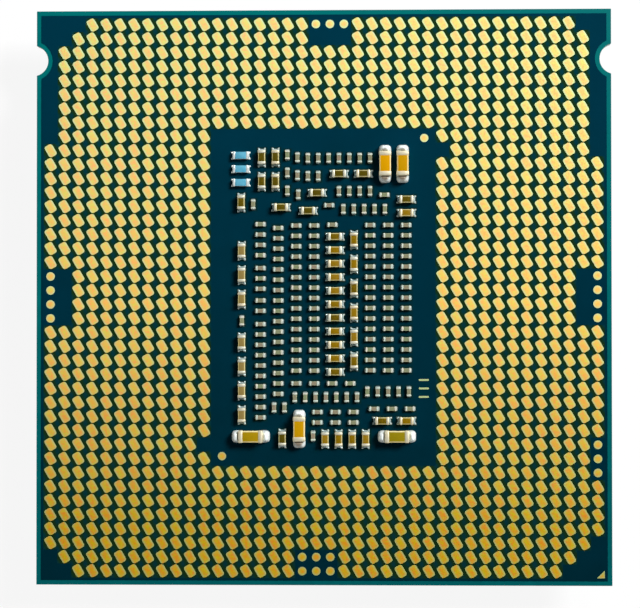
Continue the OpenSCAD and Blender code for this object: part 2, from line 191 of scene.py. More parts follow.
# Indium: a soft pale metal, dull where it was pressed flat.
thermal_metal, tree, place = start_material("indium_thermal_layer")
_, tone = mottle(tree, place, thermal_haze, 4.0, [(0.3, thermal_dark), (0.7, thermal_light)])
end_material(tree, {"Metallic": 1.0, "Roughness": 0.45}, {"Base Color": tone})

# Filled epoxy: nearly black, with pale grains of filler.
underfill_resin, tree, place = start_material("filled_epoxy_underfill")
_, tone = mottle(tree, place, resin_filler, 2.0, [(0.3, resin_dark), (0.75, resin_light)])
end_material(tree, {"Roughness": 0.35}, {"Base Color": tone})

for node, finish in (("die", silicon), ("thermal_layer", thermal_metal), ("underfill", underfill_resin)):
    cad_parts[node].material_slots[0].material = finish

# Board: a glass-fibre core with thin resin layers built up on both sides, routed to its outline with
# two key notches. Its bare rim shows as a teal band round the mask, its cut edge shows the layers.
board_low, board_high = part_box("board")
board_edge = 0.02 * MM
rim_teal, rim_blue = "006868", "005154"
core_light, core_dark = "4c8a70", "2f6f5c"
layer_light, layer_dark = "0c5a55", "06403f"
layer_pitch = math.tau * 0.05 * MM
weave_pitch = 0.45 * MM
rim_cloud = 1.2 * MM


def painted_shade_down_board(tree, place, most):
    """Grows from 0 at the upper edge of the board to the given amount at its lower edge: painted shade,
    standing for the light falling off down the board."""
    spot = add_node(tree, "ShaderNodeSeparateXYZ", {}, {"Vector": place})
    painted_falloff = add_node(tree, "ShaderNodeMapRange",
                     {"From Min": board_high.y, "From Max": board_low.y, "To Max": most},
                     {"Value": spot.outputs["Y"]})
    return painted_falloff.outputs["Result"]


# Glass and epoxy: the face is a cloudy teal, painted darker toward the lower edge of the board as shade
# where the light falls off, and the cut edge has a pale core between dark layers. A wave texture turns by
# 20 radians in each unit of its scale.
laminate, tree, place = start_material("glass_epoxy_laminate")
spot = add_node(tree, "ShaderNodeSeparateXYZ", {}, {"Vector": place})
share = add_node(tree, "ShaderNodeMapRange", {"From Min": board_low.z, "From Max": board_high.z},
                 {"Value": spot.outputs["Z"]})
cloud = add_node(tree, "ShaderNodeTexNoise", {"Scale": 1 / rim_cloud, "Detail": 3.0}, {"Vector": place})
# The wash adds painted shade toward the lower edge of the board to the clouds.
wash = add_node(tree, "ShaderNodeMath", {"operation": "MULTIPLY_ADD", 1: 0.5},
                {0: cloud.outputs["Fac"], 2: painted_shade_down_board(tree, place, 0.5)})
rim = add_node(tree, "ShaderNodeValToRGB", {"stops": [(0.25, rim_teal), (0.75, rim_blue)]},
               {"Fac": wash.outputs["Value"]})
_, core = mottle(tree, place, weave_pitch, 3.0, [(0.35, core_dark), (0.65, core_light)])
layers = add_node(tree, "ShaderNodeTexWave",
                  {"bands_direction": "Z", "Scale": math.tau / (20 * layer_pitch), "Distortion": 0.0},
                  {"Vector": place})
built = add_node(tree, "ShaderNodeValToRGB", {"stops": [(0.3, layer_dark), (0.7, layer_light)]},
                 {"Fac": layers.outputs["Fac"]})
in_core = add_node(tree, "ShaderNodeValToRGB",
                   {"stops": [(0.20, "000000"), (0.23, "ffffff"), (0.77, "ffffff"), (0.80, "000000")]},
                   {"Fac": share.outputs["Result"]})
side = add_node(tree, "ShaderNodeMix", {"data_type": "RGBA"},
                {0: in_core.outputs["Color"], 6: built.outputs["Color"], 7: core})
on_side = add_node(tree, "ShaderNodeMath", {"operation": "COMPARE", 1: 0.5, 2: 0.49},
                   {0: share.outputs["Result"]})
tone = add_node(tree, "ShaderNodeMix", {"data_type": "RGBA"},
                {0: on_side.outputs["Value"], 6: rim.outputs["Color"], 7: side.outputs[2]})
end_material(tree, {"Roughness": 0.25, "Specular IOR Level": 0.15}, {"Base Color": tone.outputs[2]})

bm = merged("board")
round_edges(bm, sharp_edges(bm), board_edge, 1)
board = add_piece(bm, "laminate_board", laminate, 30)
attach(board, "root")
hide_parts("board")

# Solder mask: a thin dark blue-green lacquer over the copper planes on both faces of the board. It is
# printed and baked, so it has a faint orange-peel skin and a few pale specks of dust.
mask_blue, mask_deep = "003041", "00222c"
mask_cloud, mask_peel = 2.2 * MM, 0.18 * MM
speck_spacing, speck_radius = 2.6 * MM, 0.035 * MM
speck_tone = "1d4a57"
mask_gloss = {"Roughness": 0.12, "Specular IOR Level": 0.2}


def mask_tone(tree, place):
    """The socket of the lacquer's colour where it lies on copper, painted deeper toward the lower edge of
    the board as shade where the light falls off.
    """
    cloud = add_node(tree, "ShaderNodeTexNoise", {"Scale": 1 / mask_cloud, "Detail": 4.0},
                     {"Vector": place})
    depth = add_node(tree, "ShaderNodeMath", {"operation": "MULTIPLY_ADD", 1: 0.4},
                     {0: cloud.outputs["Fac"], 2: painted_shade_down_board(tree, place, 0.8)})
    tone = add_node(tree, "ShaderNodeValToRGB", {"stops": [(0.2, mask_blue), (1.0, mask_deep)]},
                    {"Fac": depth.outputs["Value"]})
    return tone.outputs["Color"]


# Baked lacquer: dark and glossy, with slow clouds where the coat is thinner, and painted shade toward the
# lower edge of the board.
mask, tree, place = start_material("solder_mask_lacquer")
dust = add_node(tree, "ShaderNodeTexVoronoi", {"Scale": 1 / speck_spacing}, {"Vector": place})
speck = add_node(tree, "ShaderNodeMath", {"operation": "LESS_THAN", 1: speck_radius / speck_spacing},
                 {0: dust.outputs["Distance"]})
dusty = add_node(tree, "ShaderNodeMix", {"data_type": "RGBA", 7: linear(speck_tone)},
                 {0: speck.outputs["Value"], 6: mask_tone(tree, place)})
peel = add_node(tree, "ShaderNodeTexNoise", {"Scale": 1 / mask_peel, "Detail": 2.0}, {"Vector": place})
relief = add_node(tree, "ShaderNodeBump", {"Strength": 0.05, "Distance": 0.01 * MM},
                  {"Height": peel.outputs["Fac"]})
end_material(tree, mask_gloss, {"Base Color": dusty.outputs[2], "Normal": relief.outputs["Normal"]})

for node in ("land_side_mask", "lid_side_mask"):
    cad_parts[node].material_slots[0].material = mask

# Lands: copper pads plated with nickel and a flash of gold, one for each contact of the socket. Each is a
# leaning strip with round corners whose edge falls away to the mask; the pale rim along that edge is a
# painted reflection of the bright room.
land_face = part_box("land_side_mask")[1].z
land_width, land_length = 0.56 * MM, 0.81 * MM
land_corner, land_tip = 0.14 * MM, 0.17 * MM
land_lean = Matrix.Rotation(math.radians(30), 4, "Z")
land_side, land_top = 0.015 * MM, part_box("upper_lands")[1].z - land_face
land_rim, rim_share = 0.14 * MM, 0.12
tip_start, tip_rim = 0.4 * land_length, 0.3
gold_pale, gold_full, gold_deep = "f4ecb6", "f4da90", "b48e00"
gold_warm, gold_green = "ffa030", "e0dc10"
rim_sheen_pale, rim_sheen_full, rim_sheen_deep = "d8ecc4", "d6e0b4", "b4c088"
gold_grain = 0.13 * MM


def solid_boxes(node):
    """The low and high corners of each separate solid of a CAD node, row by row."""
    bm = welded(node)
    left, boxes = set(bm.verts), []
    while left:
        found = [left.pop()]
        for v in found:
            near = {e.other_vert(v) for e in v.link_edges} & left
            left -= near
            found.extend(near)
        axes = list(zip(*(v.co for v in found)))
        boxes.append((Vector(map(min, axes)), Vector(map(max, axes))))
    bm.free()
    return sorted(boxes, key=lambda box: (round(box[0].y / MM, 2), round(box[0].x / MM, 2)))


def only(kind, geom):
    """The items of one kind in what a bmesh operator gives."""
    return [g for g in geom if isinstance(g, kind)]


def end_shape(bm, name):
    """A mesh to be copied, which keeps its own coordinates as an attribute."""
    own = bm.verts.layers.float_vector.new("own")
    for v in bm.verts:
        v[own] = v.co
    bmesh.ops.recalc_face_normals(bm, faces=bm.faces)
    mesh = bpy.data.meshes.new(name)
    bm.to_mesh(mesh)
    bm.free()
    return mesh


def set_copies(shape, places, name, material, seed=0, tints=None):
    """One piece with a copy of the shape at each place. Each copy has its own tint from 0 to 1, which is
    drawn where none is given."""
    bm = bmesh.new()
    for spot in places:
        copy = shape.copy()
        copy.transform(spot)
        bm.from_mesh(copy)
        bpy.data.meshes.remove(copy)
    piece = add_piece(bm, name, material)
    draws = random.Random(seed)
    tints = tints or [draws.random() for spot in places]
    tint = piece.data.attributes.new("tint", "FLOAT", "POINT")
    tint.data.foreach_set("value", [t for t in tints for v in shape.vertices])
    return piece


# Hard gold flash: matt from the etched copper under it, each pad a little warmer or greener. It is painted
# paler toward the upper edge of the board and deeper toward the lower, as shade where the light falls off,
# and its pale rim is a painted reflection. The grain is drawn coarser than it is, so that it shows.
gold, tree, place = start_material("hard_gold_flash")
grain = add_node(tree, "ShaderNodeTexNoise", {"Scale": 1 / gold_grain, "Detail": 2.0}, {"Vector": place})
painted_falloff = painted_shade_down_board(tree, place, 1.0)
gold_with_painted_falloff = add_node(tree, "ShaderNodeValToRGB",
                   {"stops": [(0.1, gold_pale), (0.5, gold_full), (0.9, gold_deep)]}, {"Fac": painted_falloff})
tint = add_node(tree, "ShaderNodeAttribute", {"attribute_name": "tint"})
blotch = add_node(tree, "ShaderNodeMath", {"operation": "MULTIPLY_ADD", 1: 0.12, 2: -0.06},
                  {0: tint.outputs["Fac"]})
warmth = add_node(tree, "ShaderNodeMath", {"operation": "ADD"},
                  {0: grain.outputs["Fac"], 1: blotch.outputs["Value"]})
hue = add_node(tree, "ShaderNodeValToRGB", {"stops": [(0.33, gold_green), (0.67, gold_warm)]},
               {"Fac": warmth.outputs["Value"]})
mottled = add_node(tree, "ShaderNodeMix", {"data_type": "RGBA", 0: 0.5},
                   {6: gold_with_painted_falloff.outputs["Color"], 7: hue.outputs["Color"]})
# The rim carries a painted reflection: a pale sheen along the edge of each pad, itself painted deeper
# toward the lower edge of the board.
rim = add_node(tree, "ShaderNodeAttribute", {"attribute_name": "rim"})
painted_rim_sheen = add_node(tree, "ShaderNodeValToRGB",
                {"stops": [(0.1, rim_sheen_pale), (0.5, rim_sheen_full), (0.9, rim_sheen_deep)]}, {"Fac": painted_falloff})
tone = add_node(tree, "ShaderNodeMix", {"data_type": "RGBA"},
                {0: rim.outputs["Fac"], 6: mottled.outputs[2], 7: painted_rim_sheen.outputs["Color"]})
relief = add_node(tree, "ShaderNodeBump", {"Strength": 0.2, "Distance": 0.01 * MM},
                  {"Height": grain.outputs["Fac"]})
end_material(tree, {"Metallic": 1.0, "Roughness": 0.8},
             {"Base Color": tone.outputs[2], "Normal": relief.outputs["Normal"]})


def thicken(bm, height):
    """Raises a flat outline to a plate and gives its top faces."""
    raised = bmesh.ops.extrude_face_region(bm, geom=bm.faces[:])["geom"]
    bmesh.ops.translate(bm, vec=(0, 0, height), verts=only(BMVert, raised))
    return only(BMFace, raised)


def raise_pad(bm):
    """Raises a flat outline to a plated pad that falls toward its edge. The rim attribute is 1 at the edge
    and 0 in the middle, and says where the gold takes its painted rim sheen."""
    rim = bm.verts.layers.float.new("rim")
    tops = thicken(bm, land_side)
    for v in bm.verts:
        v[rim] = 1.0
    bmesh.ops.inset_region(bm, faces=tops, thickness=land_rim, depth=land_top - land_side,
                           use_even_offset=True)
    for v in {v for f in tops for v in f.verts}:
        v[rim] = rim_share
    for v in bmesh.ops.poke(bm, faces=tops)["verts"]:
        v[rim] = 0.0


def flat_strip(bm, width, length, corner, tip):
    """A flat face with round corners, of which two that lie opposite have the radius tip."""
    bmesh.ops.create_grid(bm, x_segments=1, y_segments=1, size=0.5)
    bmesh.ops.scale(bm, vec=(width, length, 1), verts=bm.verts)
    tips = [v for v in bm.verts if v.co.x * v.co.y > 0]
    others = [v for v in bm.verts if v.co.x * v.co.y < 0]
    for verts, radius in ((tips, tip), (others, corner)):
        bmesh.ops.bevel(bm, geom=verts, offset=radius, offset_type="OFFSET", segments=3, profile=0.5,
                        affect="VERTICES", material=-1)


# The painted pale sheen of the rim is fainter at the two tips.
bm = bmesh.new()
flat_strip(bm, land_width, land_length, land_corner, land_tip)
raise_pad(bm)
rim = bm.verts.layers.float["rim"]
for v in bm.verts:
    if v.co.x * v.co.y > 0 and abs(v.co.y) > tip_start:
        v[rim] *= tip_rim
land = end_shape(bm, "land")

land_places = []
for seed, bank in enumerate(("upper_lands", "lower_lands", "left_lands", "right_lands")):
    centres = [(low + high) / 2 for low, high in solid_boxes(bank)]
    places = [Matrix.Translation((c.x, c.y, land_face)) @ land_lean for c in centres]
    piece = set_copies(land, places, "gold_" + bank, gold, seed)
    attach(piece, "root")
    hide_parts(bank)
    land_places.extend(places)

# Clear squares: under the mask the copper plane is cut back round each land, and without its shine the
# lacquer looks greener and darker; that dark green round each land is partly painted shade between the
# lands. Between four lands the plane and its blue come back.
clear_pitch, clear_height = 0.9144 * MM, 0.003 * MM
clear_dark, clear_green, clear_blue, clear_painted_shade = "183012", "0c3226", "043542", "0a1a08"

# Lacquer over bare resin: dark green round the land, blue toward the corners of the square, where the
# squared sines of its own coordinates are near 1. It is painted darker toward the lower edge of the board
# as shade where the light falls off.
cleared_and_shaded, tree, place = start_material("solder_mask_over_resin_with_painted_shade")
own = add_node(tree, "ShaderNodeAttribute", {"attribute_name": "own"})
turns = add_node(tree, "ShaderNodeVectorMath", {"operation": "MULTIPLY", 1: [math.pi / clear_pitch] * 3},
                 {0: own.outputs["Vector"]})
waves = add_node(tree, "ShaderNodeVectorMath", {"operation": "SINE"}, {0: turns.outputs["Vector"]})
squares = add_node(tree, "ShaderNodeVectorMath", {"operation": "MULTIPLY"},
                   {0: waves.outputs["Vector"], 1: waves.outputs["Vector"]})
parts = add_node(tree, "ShaderNodeSeparateXYZ", {}, {"Vector": squares.outputs["Vector"]})
column = add_node(tree, "ShaderNodeMath", {"operation": "MULTIPLY_ADD", 1: 0.6, 2: 0.4},
                  {0: parts.outputs["Y"]})
corner = add_node(tree, "ShaderNodeMath", {"operation": "MULTIPLY"},
                  {0: parts.outputs["X"], 1: column.outputs["Value"]})
cloud = add_node(tree, "ShaderNodeTexNoise", {"Scale": 1 / mask_cloud, "Detail": 4.0}, {"Vector": place})
uneven = add_node(tree, "ShaderNodeMath", {"operation": "MULTIPLY_ADD", 1: 0.4, 2: -0.2},
                  {0: cloud.outputs["Fac"]})
copper = add_node(tree, "ShaderNodeMath", {"operation": "ADD"},
                  {0: corner.outputs["Value"], 1: uneven.outputs["Value"]})
tone = add_node(tree, "ShaderNodeValToRGB",
                {"stops": [(0.45, clear_dark), (0.75, clear_green), (1.0, clear_blue)]},
                {"Fac": copper.outputs["Value"]})
deeper = add_node(tree, "ShaderNodeMix", {"data_type": "RGBA", 7: linear(clear_painted_shade)},
                  {0: painted_shade_down_board(tree, place, 0.45), 6: tone.outputs["Color"]})
end_material(tree, mask_gloss, {"Base Color": deeper.outputs[2]})

bm = bmesh.new()
bmesh.ops.create_grid(bm, x_segments=1, y_segments=1, size=clear_pitch / 2)
thicken(bm, clear_height)
level = [Matrix.Translation(spot.translation) for spot in land_places]
piece = set_copies(end_shape(bm, "clear_square"), level, "mask_clear_squares", cleared_and_shaded, 5)
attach(piece, "root")

# Round pads: the test pads in the gaps of the outer rows and the two dots that placing machines look
# for. They are etched and plated with the lands.
pad_corners = 20

for node, name, seed in (("test_pads", "gold_test_pads", 10), ("fiducials", "gold_alignment_dots", 11)):
    boxes = solid_boxes(node)
    radius = (boxes[0][1].x - boxes[0][0].x) / 2
    bm = bmesh.new()
    bmesh.ops.create_circle(bm, cap_ends=True, segments=pad_corners, radius=radius)
    raise_pad(bm)
    centres = [(low + high) / 2 for low, high in boxes]
    places = [Matrix.Translation((c.x, c.y, land_face)) for c in centres]
    piece = set_copies(end_shape(bm, node + "_shape"), places, name, gold, seed)
    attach(piece, "root")
    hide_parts(node)

# Corner marks: a gold triangle on each face that shows the first corner of the grid. They are plated with
# the lands and have the same painted pale rim sheen.
for node, up in (("corner_mark", 1), ("lid_side_corner_mark", -1)):
    bm = merged(node)
    rim = bm.verts.layers.float.new("rim")
    for v in bm.verts:
        v[rim] = 1.0
    face = [f for f in bm.faces if f.normal.z * up > 0.9]
    bmesh.ops.inset_region(bm, faces=face, thickness=land_rim, use_even_offset=True)
    for v in {v for f in face for v in f.verts}:
        v[rim] = 0.0
    piece = add_piece(bm, "gold_" + node, gold)
    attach(piece, "root")
    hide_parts(node)

# Printed mark: three plain bars beside the chips that show which way round the board lies. They are
# screen printed on the mask in pale ink and baked hard.
mark_length, mark_width, mark_height = 0.66 * MM, 0.12 * MM, 0.008 * MM
mark_corner = 0.4 * mark_width
mark_x, mark_rows = 6.55 * MM, (-5.4 * MM, -5.95 * MM, -6.5 * MM)
ink_light, ink_dark = "b4c088", "94a46c"
ink_grain = 0.08 * MM

# Legend ink: pale, matt and a little uneven from the mesh of the screen.
ink, tree, place = start_material("pale_legend_ink")
_, tone = mottle(tree, place, ink_grain, 2.0, [(0.35, ink_dark), (0.65, ink_light)])
end_material(tree, {"Roughness": 0.6}, {"Base Color": tone})

bm = bmesh.new()
flat_strip(bm, mark_length, mark_width, mark_corner, mark_corner)
thicken(bm, mark_height)
places = [Matrix.Translation((mark_x, y, land_face)) for y in mark_rows]
piece = set_copies(end_shape(bm, "mark_bar"), places, "ink_mark_bars", ink, 6)
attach(piece, "root")

# Chip parts: ceramic blocks with tinned end bands, soldered to pads in the window. First the finishes
# and forms that they share. The solder is bright on the big chips and duller on the little ones, which
# cool faster.
tin_warm, tin_cool = "dbd1b2", "d2d4c2"
solder_dark, solder_light = "dce5e4", "eef4f2"
dull_dark, dull_light = "a4b6b4", "bccac8"
tin_grain = 0.12 * MM
band_wall, band_lip, joint_lip = 0.025 * MM, 0.002 * MM, 0.02 * MM


def tin_plate(name, warm, cool):
    """Matt tin from a plating bath, a little warmer or cooler on each chip. The grain is drawn coarser
    than it is, so that it shows."""
    material, tree, place = start_material(name)
    grain = add_node(tree, "ShaderNodeTexNoise", {"Scale": 1 / tin_grain, "Detail": 2.0}, {"Vector": place})
    tint = add_node(tree, "ShaderNodeAttribute", {"attribute_name": "tint"})
    blotch = add_node(tree, "ShaderNodeMath", {"operation": "MULTIPLY_ADD", 1: 0.5},
                      {0: tint.outputs["Fac"], 2: grain.outputs["Fac"]})
    tone = add_node(tree, "ShaderNodeValToRGB", {"stops": [(0.55, cool), (0.95, warm)]},
                    {"Fac": blotch.outputs["Value"]})
    relief = add_node(tree, "ShaderNodeBump", {"Strength": 0.2, "Distance": 0.01 * MM},
                      {"Height": grain.outputs["Fac"]})
    end_material(tree, {"Metallic": 0.5, "Roughness": 0.5},
                 {"Base Color": tone.outputs["Color"], "Normal": relief.outputs["Normal"]})
    return material


def wetted_solder(name, dark, light):
    """Solder that has run out over its pad, smooth and shiny with a grain from cooling, which is drawn
    coarser than it is."""
    material, tree, place = start_material(name)
    _, tone = mottle(tree, place, tin_grain, 2.0, [(0.35, dark), (0.65, light)])
    end_material(tree, {"Metallic": 0.4, "Roughness": 0.3}, {"Base Color": tone})
    return material


tin = tin_plate("matt_tin_plate", tin_warm, tin_cool)
solder = wetted_solder("tin_silver_solder", solder_dark, solder_light)
dull_solder = wetted_solder("dull_tin_silver_solder", dull_dark, dull_light)


def chip_size(node):
    """The length, width and height of the first solid of a node."""
    low, high = solid_boxes(node)[0]
    size = high - low
    return max(size.x, size.y), min(size.x, size.y), size.z


def chip_places(node):
    """Where the solids of a node stand on the board, turned so that their length lies along X."""
    places = []
    for low, high in solid_boxes(node):
        turn = math.pi / 2 if high.y - low.y > high.x - low.x else 0
        middle = Matrix.Translation(((low.x + high.x) / 2, (low.y + high.y) / 2, land_face))
        places.append(middle @ Matrix.Rotation(turn, 4, "Z"))
    return places


def add_block(bm, low, high, edge, segments):
    """A block between two corners with round edges."""
    low, high = Vector(low), Vector(high)
    bmesh.ops.create_cube(bm, size=1)
    bmesh.ops.scale(bm, vec=high - low, verts=bm.verts)
    bmesh.ops.translate(bm, vec=(low + high) / 2, verts=bm.verts)
    round_edges(bm, bm.edges[:], edge, segments)


def both_ends(bm):
    """Adds the same shape at the other end of a chip."""
    twin = bmesh.ops.duplicate(bm, geom=bm.verts[:] + bm.edges[:] + bm.faces[:])["geom"]
    bmesh.ops.rotate(bm, cent=(0, 0, 0), matrix=Matrix.Rotation(math.pi, 3, "Z"), verts=only(BMVert, twin))


def block_shape(name, length, width, height, edge, segments):
    """The ceramic block of a chip, held off the board by the thickness of its bands."""
    bm = bmesh.new()
    add_block(bm, (-length / 2, -width / 2, band_wall), (length / 2, width / 2, band_wall + height),
              edge, segments)
    return end_shape(bm, name)


def band_shape(name, length, width, height, band, edge, segments):
    """The metal end bands of a chip: caps over its ends, with pockets that hold the ceramic."""
    bm = bmesh.new()
    add_block(bm, (length / 2 - band, -width / 2, 0), (length / 2, width / 2, height), edge, segments)
    mouth = min(bm.faces, key=lambda f: (f.normal.x, -f.calc_area()))
    lip = max(band_wall - edge, band_lip)
    bmesh.ops.inset_region(bm, faces=[mouth], thickness=lip, use_even_offset=True)
    pocket = bmesh.ops.extrude_face_region(bm, geom=[mouth])["geom"]
    bmesh.ops.delete(bm, geom=[mouth], context="FACES_ONLY")
    bmesh.ops.translate(bm, vec=(band - band_wall, 0, 0), verts=only(BMVert, pocket))
    both_ends(bm)
    return end_shape(bm, name)


def joint_shape(name, length, width, along, cross, profile):
    """The solder joints at the ends of a chip. The profile gives the reach, the share of the width and
    the height at each point, from 0 at the chip to 1 and from 0 in the middle to 1 at the sides."""
    bm = bmesh.new()
    for v in bmesh.ops.create_grid(bm, x_segments=along, y_segments=cross, size=0.5)["verts"]:
        reach, share, height = profile(v.co.x + 0.5, abs(2 * v.co.y))
        v.co = (length / 2 + reach, v.co.y * width * share, joint_lip + height)
    base = bmesh.ops.extrude_face_region(bm, geom=bm.faces[:])["geom"]
    for v in only(BMVert, base):
        v.co.z = 0
    bmesh.ops.dissolve_faces(bm, faces=only(BMFace, base))
    both_ends(bm)
    return end_shape(bm, name)


def fillet(reach, climb, pull):
    """The profile of a fillet that climbs the middle of the end of a chip and lies as a low bead in its
    corners. The middle falls short by the share pull, and the bead is lower at the very side."""
    corner_start, corner_width = 0.4, 0.2
    middle_share, bead_share, bead_start, bead_span = 0.6, 0.3, 0.05, 0.85
    side_start, side_share = 0.99, 0.6

    def profile(out, across):
        corner = min(max((across - corner_start) / corner_width, 0), 1)
        middle = middle_share * climb * (1 - out) ** 2
        bead = bead_share * climb * math.sin(math.pi * (bead_start + bead_span * out))
        if across > side_start:
            bead *= side_share
        return reach * out * (1 - pull + pull * corner), 1, middle + (bead - middle) * corner
    return profile


# Large capacitors: five big ceramic blocks with a glossy amber skin, dipped and tinned at both ends. A
# full dome of solder holds each end to its pad.
large_edge, large_band, large_band_edge = 0.07 * MM, 0.3 * MM, 0.06 * MM
amber_deep, amber_olive, amber_edge_sheen = "cc9200", "87780e", "e8d9a2"
large_tints = (1.0, 0.72, 0.25, 0.7, 0.0)
large_margin = 0.1 * MM
ceramic_grain = 0.1 * MM
dome_reach, dome_height, dome_steps = 0.44 * MM, 0.7 * MM, (12, 16)
dome_end, dome_square, dome_root = 0.97, 3.2, 0.31
dome_neck, dome_neck_end, dome_fall = 0.76, 0.4, 0.85
flux_and_shade_tone, flux_reach, flux_squash = "7a6c58", 0.43 * MM, 1.15
flux_full = 0.6 * flux_reach
flux_and_shade_below, flux_and_shade_above, flux_and_shade_beside = 0.95, 0.6, 0.3


def fired_ceramic(name, tones, sheen_tone, half_width, margin):
    """Fired ceramic, a little different on each block, and painted paler along its long edges as a
    reflection of the bright room in their rounding."""
    material, tree, place = start_material(name)
    tint = add_node(tree, "ShaderNodeAttribute", {"attribute_name": "tint"})
    own = add_node(tree, "ShaderNodeAttribute", {"attribute_name": "own"})
    grain = add_node(tree, "ShaderNodeTexNoise", {"Scale": 1 / ceramic_grain, "Detail": 3.0},
                     {"Vector": place})
    blotch = add_node(tree, "ShaderNodeMath", {"operation": "MULTIPLY_ADD", 1: 0.5, 2: -0.25},
                      {0: grain.outputs["Fac"]})
    depth = add_node(tree, "ShaderNodeMath", {"operation": "ADD"},
                     {0: tint.outputs["Fac"], 1: blotch.outputs["Value"]})
    tone = add_node(tree, "ShaderNodeValToRGB", {"stops": tones}, {"Fac": depth.outputs["Value"]})
    spot = add_node(tree, "ShaderNodeSeparateXYZ", {}, {"Vector": own.outputs["Vector"]})
    across = add_node(tree, "ShaderNodeMath", {"operation": "ABSOLUTE"}, {0: spot.outputs["Y"]})
    edge = add_node(tree, "ShaderNodeMapRange",
                    {"From Min": half_width - margin, "From Max": half_width - 0.3 * margin, "To Max": 0.9},
                    {"Value": across.outputs["Value"]})
    skin_and_sheen = add_node(tree, "ShaderNodeMix", {"data_type": "RGBA", 7: linear(sheen_tone)},
                    {0: edge.outputs["Result"], 6: tone.outputs["Color"]})
    relief = add_node(tree, "ShaderNodeBump", {"Strength": 0.1, "Distance": 0.005 * MM},
                      {"Height": grain.outputs["Fac"]})
    end_material(tree, {"Roughness": 0.2, "Specular IOR Level": 0.4},
                 {"Base Color": skin_and_sheen.outputs[2], "Normal": relief.outputs["Normal"]})
    return material


def dome(out, across):
    """The profile of a full ball of solder, a little lower where it meets the chip."""
    share = (1 - (dome_end * out) ** dome_square) ** dome_root
    neck = dome_neck + (1 - dome_neck) * math.sin(min(out / dome_neck_end, 1) * math.pi / 2)
    rise = (1 - out ** 4) ** 0.5 * neck * (1 - dome_fall * across ** 4)
    return dome_reach * out, share, dome_height * rise


large_size = chip_size("large_capacitor_1_body")
large_whole = [s + 2 * band_wall for s in large_size]
amber = fired_ceramic("amber_ceramic", [(0.0, amber_olive), (1.0, amber_deep)], amber_edge_sheen,
                      large_size[1] / 2, large_margin)
large_body = block_shape("large_body", *large_size, large_edge, 3)
large_bands = band_shape("large_bands", *large_whole, large_band, large_band_edge, 3)
large_joints = joint_shape("large_joints", *large_whole[:2], *dome_steps, dome)

# Solder with a stain: a grey-brown half moon where the dome meets the band, partly burnt flux and partly
# painted shade from the chip, so it is strongest on the ends below the chips. The tint says how much of it
# there is.
domed, tree, place = start_material("tin_silver_solder_with_flux_and_painted_shade")
_, tone = mottle(tree, place, tin_grain, 2.0, [(0.35, solder_dark), (0.65, solder_light)])
own = add_node(tree, "ShaderNodeAttribute", {"attribute_name": "own"})
either = add_node(tree, "ShaderNodeVectorMath", {"operation": "ABSOLUTE"}, {0: own.outputs["Vector"]})
beyond = add_node(tree, "ShaderNodeVectorMath",
                  {"operation": "MULTIPLY_ADD", 1: (1, flux_squash, 0), 2: (-large_whole[0] / 2, 0, 0)},
                  {0: either.outputs["Vector"]})
far = add_node(tree, "ShaderNodeVectorMath", {"operation": "LENGTH"}, {0: beyond.outputs["Vector"]})
amount = add_node(tree, "ShaderNodeAttribute", {"attribute_name": "tint"})
ratio = add_node(tree, "ShaderNodeMath", {"operation": "DIVIDE"},
                 {0: far.outputs["Value"], 1: amount.outputs["Fac"]})
stain_and_shade = add_node(tree, "ShaderNodeMapRange",
                 {"From Min": flux_full, "From Max": flux_reach, "To Max": 0.0},
                 {"Value": ratio.outputs["Value"], "To Min": amount.outputs["Fac"]})
stained_and_shaded = add_node(tree, "ShaderNodeMix", {"data_type": "RGBA", 7: linear(flux_and_shade_tone)},
                   {0: stain_and_shade.outputs["Result"], 6: tone})
end_material(tree, {"Metallic": 0.1, "Roughness": 0.3}, {"Base Color": stained_and_shaded.outputs[2]})

for k, tint in enumerate(large_tints, 1):
    node = "large_capacitor_%d" % k
    places = chip_places(node + "_body")
    body = set_copies(large_body, places, node + "_ceramic", amber, tints=[tint])
    bands = set_copies(large_bands, places, node + "_tin_bands", tin)
    joints = set_copies(large_joints, places, node + "_solder_domes", domed)
    low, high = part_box(node + "_body")
    middle, upright = (low.y + high.y) / 2, high.y - low.y > high.x - low.x
    # The half moon is painted strongest below upright chips, less above them and weakest beside lying ones:
    # painted shade where the chip's shadow falls.
    stains_and_shade = [(flux_and_shade_below if v.co.y < middle else flux_and_shade_above) if upright else flux_and_shade_beside
              for v in joints.data.vertices]
    joints.data.attributes["tint"].data.foreach_set("value", stains_and_shade)
    for piece, part, slot in ((body, "_body", "large_ceramic"), (bands, "_terminals", "tin"),
                              (joints, "_solder", "solder")):
        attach(piece, "root")
        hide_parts(node + part)

# Chip resistors: three white alumina blocks with a printed film under a coat of blue glass, and tinned
# caps at both ends. They are soldered flat, and the solder runs out to the corners of its pads.
resistor_band, resistor_reach, resistor_climb = 0.14 * MM, 0.13 * MM, 0.245 * MM
resistor_edge, cap_edge, coat_gap = 0.012 * MM, 0.02 * MM, 0.01 * MM
resistor_pull, fillet_steps = 0.6, (5, 12)
alumina_light, alumina_dark = "eeeeea", "d9dad6"
glass_light, glass_deep = "62a8c0", "4c9ab6"
glass_cloud = 0.3 * MM

# Alumina: white and matt, with a faint grey grain.
alumina, tree, place = start_material("white_alumina")
_, tone = mottle(tree, place, ceramic_grain, 3.0, [(0.3, alumina_dark), (0.7, alumina_light)])
end_material(tree, {"Roughness": 0.5}, {"Base Color": tone})

# Blue glass: printed as a paste and fired, so it is glossy, a little wavy and deeper where it is thick.
blue_glass, tree, place = start_material("blue_glass_glaze")
cloud, tone = mottle(tree, place, glass_cloud, 3.0, [(0.3, glass_deep), (0.7, glass_light)])
relief = add_node(tree, "ShaderNodeBump", {"Strength": 0.15, "Distance": 0.005 * MM}, {"Height": cloud})
end_material(tree, {"Roughness": 0.15, "Specular IOR Level": 0.4},
             {"Base Color": tone, "Normal": relief.outputs["Normal"]})

